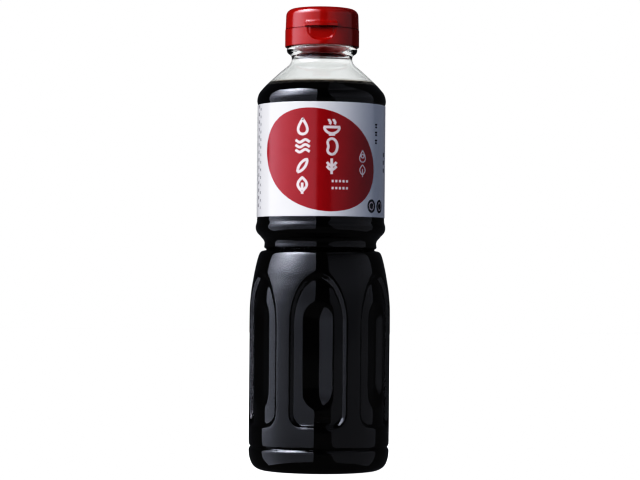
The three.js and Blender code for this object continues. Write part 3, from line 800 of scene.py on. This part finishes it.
def cap_radius(turn, z):
    """Radius of the cap's outside; turn is the angle from the middle of the tab."""
    r = cap_side(z)
    tab_foot = PARTING + PARTING_WIDTH
    side = abs(turn)
    if PARTING <= z <= tab_foot and side < math.pi - HINGE_HALF_ANGLE:
        r -= PARTING_DEPTH
    if z > tab_foot:
        ends = smooth((TAB_HALF_ANGLE - side) / math.radians(1.2) + 0.5)
        over = z - tab_foot
        lip = smooth(over / 0.35 + 0.4) * (1 - smooth((over - 1.7) / 1.5))
        blend = 0.28 * (1 - smooth((over - 2.2) / 1.9))
        r += ends * (TAB_REACH * lip + blend)
    if z < PARTING:
        across = side * CAP_RADIUS / RECESS_HALF_WIDTH
        down = (PARTING - z) / RECESS_HEIGHT
        reach = (across**2.5 + down**2.5) ** 0.4
        inset_mm = (1 - reach) * RECESS_HEIGHT
        if inset_mm > 0:
            flat_floor = CAP_RADIUS - (CAP_RADIUS - RECESS_DEPTH) / math.cos(turn)
            r -= max(flat_floor, RECESS_SIDE_DEPTH) * smooth(inset_mm / RECESS_WALL)
    return r


front_turns = np.radians(np.arange(-32, 32.01, 0.4))
back_turns = np.radians(np.arange(34, 326.01, 2.0))
cap_turns = np.concatenate([front_turns, back_turns])
cap_heights = np.concatenate([
    [CAP_BOTTOM, CAP_BOTTOM + 0.12, CAP_BOTTOM + 0.35],
    np.arange(CAP_BOTTOM + 0.6, PARTING - 0.05, 0.28),
    [PARTING - 0.02, PARTING, PARTING + 0.02, PARTING + PARTING_WIDTH],
    PARTING + PARTING_WIDTH + np.array([0.01, 0.15, 0.35, 0.6]),
    np.arange(258.6, 265.6, 0.3),
])
edge_turns = np.radians(np.arange(0, 84.1, 6))
cap_heights = np.concatenate([cap_heights, CAP_TOP - TOP_CROWN - EDGE_RADIUS
                              + EDGE_RADIUS * np.sin(edge_turns)])
cap_heights = np.unique(np.round(cap_heights, 3))
cap_bm = bmesh.new()
cap_rings = []


def cap_ring(radius_at, z):
    """Adds a ring of points at a height, with the radius that a function gives for each turn."""
    ring = []
    for turn in cap_turns:
        signed = (turn + math.pi) % (2 * math.pi) - math.pi
        r = radius_at(signed) * MM
        ring.append(cap_bm.verts.new((r * math.sin(turn), -r * math.cos(turn), z * MM)))
    cap_rings.append(ring)


# From the plug that seals the neck, up inside the collar, over the outside and onto the top.
inside_line = [(14.0, LID_CEILING), (14.0, 245.3), (14.3, 244.5), (15.0, 244.3), (15.6, 244.7),
               (16.0, 245.7), (16.2, 260.75), (18.72, 260.85), (18.75, 260.6),
               (18.75, CAP_BOTTOM + 0.3), (19.0, CAP_BOTTOM)]
for r, z in inside_line:
    cap_ring(lambda turn, r=r: r, z)
for z in cap_heights:
    cap_ring(lambda turn, z=z: cap_radius(turn, z), z)
top_rim = cap_side(cap_heights[-1])
for part, drop in ((0.93, 0.22), (0.85, 0.12), (0.6, 0.05), (0.3, 0.01)):
    cap_ring(lambda turn, part=part: top_rim * part, CAP_TOP - drop)
for low, high in zip(cap_rings[:-1], cap_rings[1:]):
    for j in range(len(cap_turns)):
        k = (j + 1) % len(cap_turns)
        cap_bm.faces.new((low[j], low[k], high[k], high[j])).smooth = True
for ring, z, inward in ((cap_rings[0], LID_CEILING, True), (cap_rings[-1], CAP_TOP, False)):
    middle = cap_bm.verts.new((0.0, 0.0, z * MM))
    for j in range(len(cap_turns)):
        k = (j + 1) % len(cap_turns)
        points = (middle, ring[k], ring[j]) if inward else (ring[j], ring[k], middle)
        cap_bm.faces.new(points).smooth = True
cap_mesh = bpy.data.meshes.new("flip_cap")
cap_bm.to_mesh(cap_mesh)
cap_bm.free()
cap_mesh.set_sharp_from_angle(angle=math.radians(38))
flip_cap = bpy.data.objects.new("flip_cap", cap_mesh)
bpy.context.collection.objects.link(flip_cap)

# Injection-moulded polypropylene: deep red through and through, with a smooth moulded gloss.
red_polypropylene, tree, shader = new_material("moulded_red_polypropylene")
shader.inputs["IOR"].default_value = 1.5
shader.inputs["Specular IOR Level"].default_value = 0.85
place = add_node(tree, "ShaderNodeTexCoord").outputs["Object"]
mottle = add_node(tree, "ShaderNodeTexNoise", {},
                  {"Vector": place, "Scale": 260.0, "Detail": 2.0})
two_tone(tree, shader, mottle.outputs[0], "a81c16", "b02119")
gloss_between(tree, shader, mottle.outputs[0], 0.14, 0.2)
cap_bump = add_node(tree, "ShaderNodeBump", {},
                    {"Height": mottle.outputs[0], "Strength": 0.03, "Distance": 0.0005})
tree.links.new(cap_bump.outputs[0], shader.inputs["Normal"])
flip_cap.data.materials.append(red_polypropylene)
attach(flip_cap, "root")
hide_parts("cap")


# Studio. A pale floor and backdrop, a tall soft light on the left that leans over the top, a weak
# light on the right and dark sides, so that the gloss shows bright on the left and dark edges.
floor_mesh = bpy.data.meshes.new("studio_floor")
floor_mesh.from_pydata([(-3, -2, 0), (3, -2, 0), (3, 4, 0), (-3, 4, 0)], [], [(0, 1, 2, 3)])
studio_floor = bpy.data.objects.new("studio_floor", floor_mesh)
bpy.context.collection.objects.link(studio_floor)

# Matt backdrop paper, lit so evenly that it shows as plain white.
pale_paper, tree, shader = new_material("pale_studio_paper")
shader.inputs["Base Color"].default_value = (0.5, 0.5, 0.5, 1.0)
shader.inputs["Roughness"].default_value = 0.9
shader.inputs["Emission Color"].default_value = (1.0, 1.0, 1.0, 1.0)
shader.inputs["Emission Strength"].default_value = 1.0
studio_floor.data.materials.append(pale_paper)
studio_floor.visible_glossy = False
studio_floor.visible_diffuse = False

world = bpy.data.worlds.new("soft_studio")
bpy.context.scene.world = world
world.use_nodes = True
tree = world.node_tree
tree.nodes.clear()
toward = add_node(tree, "ShaderNodeTexCoord").outputs["Generated"]
axes = add_node(tree, "ShaderNodeSeparateXYZ", links={0: toward}).outputs
bearing = sum_of(tree, "DEGREES", sum_of(tree, "ARCTAN2", axes["X"],
                                        sum_of(tree, "MULTIPLY", axes["Y"], -1.0)))
rise = sum_of(tree, "DIVIDE", sum_of(tree, "ARCSINE", axes["Z"]), math.pi / 2)

# The left light's strength, how much of it stays level, and the bearing of its hot middle, each by
# the angle of rise in degrees. The room gives the gloss a little light from everywhere.
LEFT_PEAK = 18.0
LEFT_WIDTH = 29.0
ROOM_GLOSS = 0.07
LEFT_LIGHT = [(-90, 1.45, 0.57, 95), (-5, 1.5, 0.57, 95), (1, 2.1, 0.58, 94), (5, 2.15, 0.48, 90),
              (9, 2.7, 0.32, 84), (13, 2.9, 0.28, 82), (17, 4.1, 0.22, 80), (21, 6.0, 0.2, 71),
              (25, 7.2, 0.18, 66), (30, 8.9, 0.17, 67), (36, 9.2, 0.17, 68), (43, 15.8, 0.12, 70),
              (50, 15.5, 0.18, 66), (56, 17.0, 0.12, 62), (67, 9.0, 0.15, 70), (90, 8.0, 0.2, 70)]


def by_rise(rows):
    """Three levels that change with the rise, from rows of its angle in degrees and the levels."""
    levels = add_node(tree, "ShaderNodeValToRGB", {},
                      {0: sum_of(tree, "MULTIPLY_ADD", rise, 0.5, 0.5)})
    ramp = levels.color_ramp
    while len(ramp.elements) < len(rows):
        ramp.elements.new(0.5)
    for element, (angle, *row) in zip(ramp.elements, rows):
        element.position = (angle + 90) / 180
        element.color = (*row, 1.0)
    return levels.outputs[0]


left_levels = by_rise([(angle, strong / LEFT_PEAK, level, middle / 100)
                       for angle, strong, level, middle in LEFT_LIGHT])
left_parts = add_node(tree, "ShaderNodeSeparateColor", links={0: left_levels}).outputs
off_middle = sum_of(tree, "DIVIDE",
                    sum_of(tree, "ADD", bearing, sum_of(tree, "MULTIPLY", left_parts[2], 100.0)),
                    LEFT_WIDTH)
bell = sum_of(tree, "EXPONENT", sum_of(tree, "MULTIPLY", sum_of(tree, "MULTIPLY", off_middle, -1.0),
                                       off_middle))
spread = sum_of(tree, "MULTIPLY_ADD", sum_of(tree, "SUBTRACT", 1.0, left_parts[1]), bell,
                left_parts[1])

# Its inner edge, its back edge overhead, its far edge lower down, and its foot.
inner_margin = sum_of(tree, "SUBTRACT", sum_of(tree, "MULTIPLY_ADD", axes["Z"], 0.02, -0.105),
                      axes["X"])
back_margin = sum_of(tree, "SUBTRACT", sum_of(tree, "MULTIPLY_ADD", axes["X"], -0.95, -0.55),
                     axes["Y"])
low_enough = sum_of(tree, "MULTIPLY", sum_of(tree, "SUBTRACT", 0.72, axes["Z"]), 4.0)
back_margin = sum_of(tree, "MAXIMUM", back_margin, low_enough)
far_margin = sum_of(tree, "MULTIPLY_ADD", bearing, 0.012, 107 * 0.012)
foot_margin = sum_of(tree, "ADD", sum_of(tree, "MULTIPLY_ADD",
                                         sum_of(tree, "ABSOLUTE", axes["X"]), 0.13, 0.48), axes["Z"])
margin = sum_of(tree, "MINIMUM", sum_of(tree, "MINIMUM", inner_margin, back_margin),
                sum_of(tree, "MINIMUM", far_margin, foot_margin))
in_left = add_node(tree, "ShaderNodeMapRange", {"interpolation_type": "SMOOTHSTEP"},
                   {"Value": margin, "From Min": 0.0, "From Max": 0.02}).outputs[0]
left_light = sum_of(tree, "MULTIPLY", sum_of(tree, "MULTIPLY", left_parts[0], LEFT_PEAK),
                    sum_of(tree, "MULTIPLY", in_left, spread))

# The weak light on the right. The rest of the room is nearly dark.
RIGHT_LIGHT = [(-90, 0.36), (-4, 0.38), (3, 0.4), (10, 0.46), (17, 0.56), (25, 0.46), (36, 0.26),
               (43, 0.16), (50, 0.12), (56, 0.5), (67, 0.25), (90, 0.15)]
right_levels = by_rise([(angle, strong, strong, strong) for angle, strong in RIGHT_LIGHT])
right_margin = sum_of(tree, "ADD", sum_of(tree, "MULTIPLY_ADD", axes["Z"], 0.22, -0.34), axes["X"])
right_back = sum_of(tree, "MULTIPLY", sum_of(tree, "SUBTRACT", 109.0, bearing), 0.01)
right_margin = sum_of(tree, "MINIMUM", sum_of(tree, "MINIMUM", right_margin, right_back), foot_margin)
in_right = add_node(tree, "ShaderNodeMapRange", {"interpolation_type": "SMOOTHSTEP"},
                    {"Value": right_margin, "From Min": 0.0, "From Max": 0.02}).outputs[0]
right_light = sum_of(tree, "MULTIPLY", in_right, right_levels)

# What gloss sees, what a straight look through the clear shell sees, and what light that has
# bounced off a matt piece sees.
gloss_seen = sum_of(tree, "ADD", sum_of(tree, "ADD", left_light, right_light), ROOM_GLOSS)
path = add_node(tree, "ShaderNodeLightPath").outputs
straight = sum_of(tree, "MAXIMUM", sum_of(tree, "LESS_THAN", path["Glossy Depth"], 0.5),
                  sum_of(tree, "GREATER_THAN", axes["Y"], -0.3))
straight = sum_of(tree, "MULTIPLY", straight, path["Is Transmission Ray"])
seen_plain = sum_of(tree, "MAXIMUM", path["Is Camera Ray"], straight)
inside_gloss = sum_of(tree, "MULTIPLY_ADD", path["Is Transmission Ray"], -0.8, 1.0)
gloss_seen = sum_of(tree, "MULTIPLY", gloss_seen, inside_gloss)
strength = add_node(tree, "ShaderNodeMix", {"data_type": "FLOAT"},
                    {0: seen_plain, 2: gloss_seen, 3: 1.0}).outputs[0]
first_hand = sum_of(tree, "LESS_THAN", path["Diffuse Depth"], 0.5)
strength = sum_of(tree, "MULTIPLY", strength, sum_of(tree, "MULTIPLY_ADD", first_hand, 0.92, 0.08))
daylight = add_node(tree, "ShaderNodeMix", {"data_type": "RGBA"},
                    {0: seen_plain, 6: (0.93, 0.965, 1.1, 1.0), 7: (1.0, 1.0, 1.0, 1.0)}).outputs[2]
sky = add_node(tree, "ShaderNodeBackground", links={"Color": daylight, "Strength": strength})
add_node(tree, "ShaderNodeOutputWorld", links={"Surface": sky.outputs[0]})
world.cycles.sampling_method = "NONE"
world.cycles_visibility.diffuse = False


def soft_sun(name, bearing_deg, rise_deg, energy, spread_deg, colour):
    """A soft distant light that comes from a bearing, where 0 is the camera's side."""
    data = bpy.data.lights.new(name, "SUN")
    data.energy = energy
    data.angle = math.radians(spread_deg)
    data.color = colour
    lamp = bpy.data.objects.new(name, data)
    b, e = math.radians(bearing_deg), math.radians(rise_deg)
    source = Vector((math.sin(b) * math.cos(e), -math.cos(b) * math.cos(e), math.sin(e)))
    lamp.rotation_euler = (-source).to_track_quat("-Z", "Y").to_euler()
    lamp.visible_glossy = False
    lamp.visible_transmission = False
    bpy.context.collection.objects.link(lamp)


soft_sun("key_light", -52, 22, 3.7, 50, (1.0, 1.0, 1.02))
soft_sun("fill_light", 58, 12, 0.85, 50, (0.86, 0.94, 1.12))
soft_sun("back_light", 172, 25, 2.4, 60, (1.0, 1.0, 1.02))

CAMERA_DISTANCE = 1.4
CAMERA_HEIGHT = 0.1083
CAMERA_BEARING = math.radians(1.25)
CAMERA_ROLL = math.radians(-0.5)
IMAGE_WIDTH = 640
FOCAL_PIXELS = 2389
SHIFT_PIXELS = 45
SENSOR_WIDTH = 36.0
camera_data = bpy.data.cameras.new("camera")
camera_data.sensor_width = SENSOR_WIDTH
camera_data.lens = FOCAL_PIXELS * SENSOR_WIDTH / IMAGE_WIDTH
camera_data.shift_y = SHIFT_PIXELS / IMAGE_WIDTH
camera_data.clip_end = 20.0
camera = bpy.data.objects.new("camera", camera_data)
camera.location = (CAMERA_DISTANCE * math.sin(CAMERA_BEARING),
                   -CAMERA_DISTANCE * math.cos(CAMERA_BEARING), CAMERA_HEIGHT)
camera.rotation_mode = "XYZ"
camera.rotation_euler = (math.pi / 2, CAMERA_ROLL, CAMERA_BEARING)
bpy.context.collection.objects.link(camera)
bpy.context.scene.camera = camera

scene = bpy.context.scene
scene.view_settings.view_transform = "Standard"
scene.view_settings.look = "None"
scene.view_settings.use_curve_mapping = True
tone = scene.view_settings.curve_mapping
tone.use_clip = True
tone.clip_max_x = 1.0
tone.extend = "HORIZONTAL"
print_curve = tone.curves[3]
for level_in, level_out in ((0.02, 0.0035), (0.06, 0.018), (0.12, 0.058), (0.2, 0.137),
                            (0.28, 0.228), (0.4, 0.37), (0.6, 0.62), (0.8, 0.85)):
    print_curve.points.new(level_in, level_out)
tone.update()
scene.cycles.max_bounces = 16
scene.cycles.transmission_bounces = 12
scene.cycles.transparent_max_bounces = 12
scene.cycles.caustics_reflective = False
scene.cycles.caustics_refractive = True
